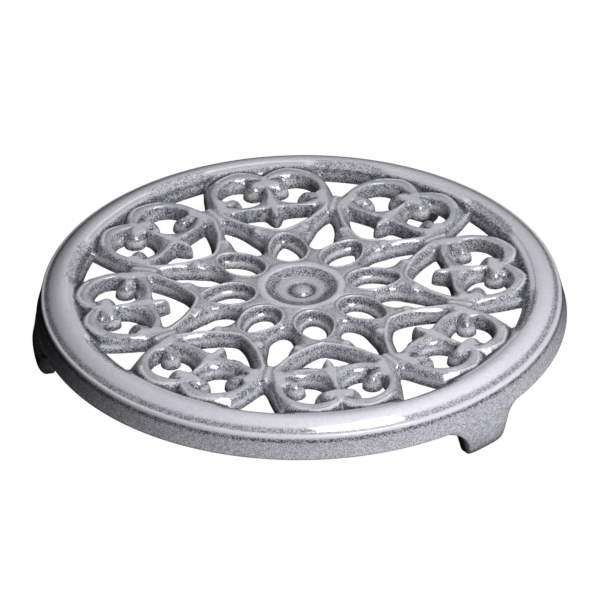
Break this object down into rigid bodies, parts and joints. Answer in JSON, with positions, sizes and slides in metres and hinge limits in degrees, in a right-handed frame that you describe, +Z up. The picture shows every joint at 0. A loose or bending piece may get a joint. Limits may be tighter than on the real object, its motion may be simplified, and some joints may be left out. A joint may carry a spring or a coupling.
{
  "type": "trivet",
  "caption": "Round enamelled cast-iron trivet with heart and loop scrollwork inside a crowned rim, on three cast feet, which holds a hot pan off the table.",
  "frame": {"origin": "on the axis of the round, level with the soles of the three feet, on the table", "axes": "+Z up out of the top of the trivet, +X through the middle of the first heart, +Y through the middle of the third heart"},
  "size_m": [0.2316, 0.23, 0.0296],
  "materials": {
    "enamel": "glossy vitreous enamel on cast iron, lavender grey on the crests and speckled darker in the hollows",
    "enamel_shade": "the same glossy enamel, thinner and darker on the feet"
  },
  "bodies": {
    "root": {"rim": "enamel", "centre_medallion": "enamel", "heart_scroll_1": "enamel", "heart_scroll_2": "enamel", "heart_scroll_3": "enamel", "heart_scroll_4": "enamel", "heart_scroll_5": "enamel", "heart_scroll_6": "enamel", "heart_scroll_7": "enamel", "heart_scroll_8": "enamel", "loop_1": "enamel", "loop_2": "enamel", "loop_3": "enamel", "loop_4": "enamel", "loop_5": "enamel", "loop_6": "enamel", "loop_7": "enamel", "loop_8": "enamel", "foot_1": "enamel_shade", "foot_2": "enamel_shade", "foot_3": "enamel_shade"}
  },
  "joints": []
}
